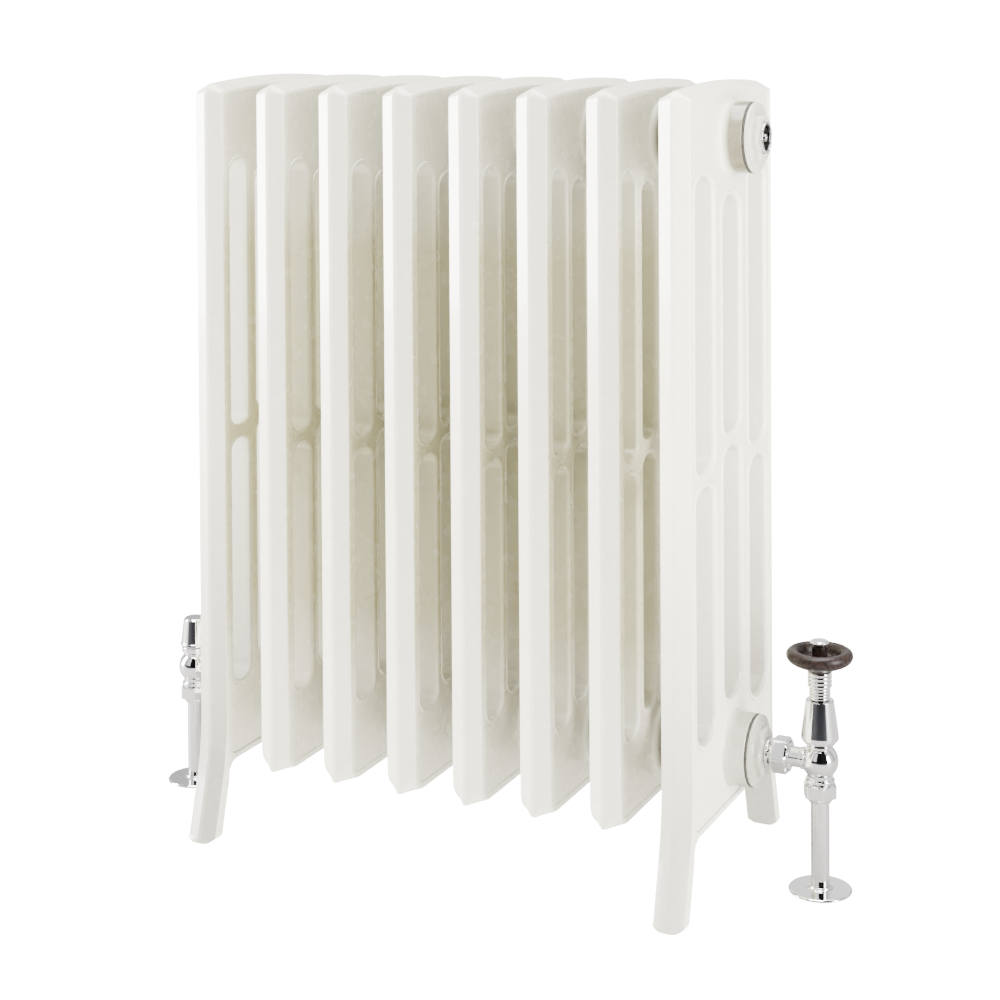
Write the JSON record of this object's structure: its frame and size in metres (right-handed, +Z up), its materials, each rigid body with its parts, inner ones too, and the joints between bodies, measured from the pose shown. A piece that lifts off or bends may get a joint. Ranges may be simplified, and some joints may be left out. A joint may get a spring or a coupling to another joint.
{
  "type": "cast iron radiator",
  "caption": "Free-standing cast iron column radiator on splayed legs, with a wheel-head angle valve, a lockshield valve, an air vent, pipes and floor plates.",
  "frame": {"origin": "on the floor, at the centre of the row of sections", "axes": "+X along the row towards the wheel-head valve, +Y to the back, +Z up; the front faces -Y"},
  "size_m": [0.6403, 0.2512, 0.6445],
  "materials": {
    "warm_white_enamel": "gloss warm white enamel over a fine cast texture",
    "chrome": "polished chrome plate",
    "walnut": "dark walnut with a satin lacquer",
    "rubber": "matt black rubber",
    "brass": "machined brass",
    "nipple_steel": "bare machined steel"
  },
  "bodies": {
    "radiator": {"blank_plug_top_left": "warm_white_enamel", "bush_gasket_bottom_left": "rubber", "bush_gasket_bottom_right": "rubber", "bush_gasket_top_left": "rubber", "bush_gasket_top_right": "rubber", "end_bush_bottom_left": "warm_white_enamel", "end_bush_bottom_right": "warm_white_enamel", "end_bush_top_right": "warm_white_enamel", "end_section_left": "warm_white_enamel", "end_section_right": "warm_white_enamel", "lockshield_body": "chrome", "lockshield_bonnet": "chrome", "lockshield_compression_nut": "chrome", "lockshield_olive": "brass", "lockshield_tail": "chrome", "lockshield_union_nut": "chrome", "mid_section_1": "warm_white_enamel", "mid_section_2": "warm_white_enamel", "mid_section_3": "warm_white_enamel", "mid_section_4": "warm_white_enamel", "mid_section_5": "warm_white_enamel", "mid_section_6": "warm_white_enamel", "nipple_bottom_1": "nipple_steel", "nipple_bottom_2": "nipple_steel", "nipple_bottom_3": "nipple_steel", "nipple_bottom_4": "nipple_steel", "nipple_bottom_5": "nipple_steel", "nipple_bottom_6": "nipple_steel", "nipple_bottom_7": "nipple_steel", "nipple_top_1": "nipple_steel", "nipple_top_2": "nipple_steel", "nipple_top_3": "nipple_steel", "nipple_top_4": "nipple_steel", "nipple_top_5": "nipple_steel", "nipple_top_6": "nipple_steel", "nipple_top_7": "nipple_steel", "return_floor_plate": "chrome", "return_pipe": "chrome", "supply_floor_plate": "chrome", "supply_pipe": "chrome", "valve_body": "chrome", "valve_bonnet": "chrome", "valve_compression_nut": "chrome", "valve_gland": "chrome", "valve_olive": "brass", "valve_tail": "chrome", "valve_union_nut": "chrome", "vent_body": "chrome"},
    "handwheel": {"wheel_skirt": "chrome", "handwheel": "walnut", "wheel_cap": "chrome"},
    "valve_stem": {"valve_spindle": "brass", "valve_washer": "rubber"},
    "lockshield_cap": {"lockshield_cap": "chrome"},
    "lockshield_spindle": {"lockshield_spindle": "brass"},
    "lockshield_plug": {"lockshield_plug": "brass"},
    "vent_screw": {"vent_screw": "chrome"}
  },
  "joints": [
    {"name": "handwheel_turn", "type": "hinge", "parent": "radiator", "child": "handwheel", "pos_m": [0.294, 0, 0.187], "axis": [0, 0, 1], "range_deg": [-1080, 0]},
    {"name": "stem_slide", "type": "slide", "parent": "radiator", "child": "valve_stem", "axis": [0, 0, 1], "range_m": [-0.0031, 0]},
    {"name": "lockshield_cap_lift", "type": "slide", "parent": "radiator", "child": "lockshield_cap", "axis": [0, 0, 1], "range_m": [0, 0.035]},
    {"name": "lockshield_spindle_turn", "type": "hinge", "parent": "radiator", "child": "lockshield_spindle", "pos_m": [-0.294, 0, 0.13], "axis": [0, 0, 1], "range_deg": [-1100, 0]},
    {"name": "lockshield_plug_slide", "type": "slide", "parent": "radiator", "child": "lockshield_plug", "axis": [0, 0, 1], "range_m": [-0.003, 0]},
    {"name": "vent_screw_turn", "type": "hinge", "parent": "radiator", "child": "vent_screw", "pos_m": [0.2443, 0, 0.599], "axis": [1, 0, 0], "range_deg": [0, 360]}
  ],
  "couplings": [
    {"joint": "stem_slide", "follows": "handwheel_turn", "m_per_rad": 0.00015915},
    {"joint": "lockshield_spindle_turn", "follows": "lockshield_plug_slide", "rad_per_m": 6283.2}
  ]
}
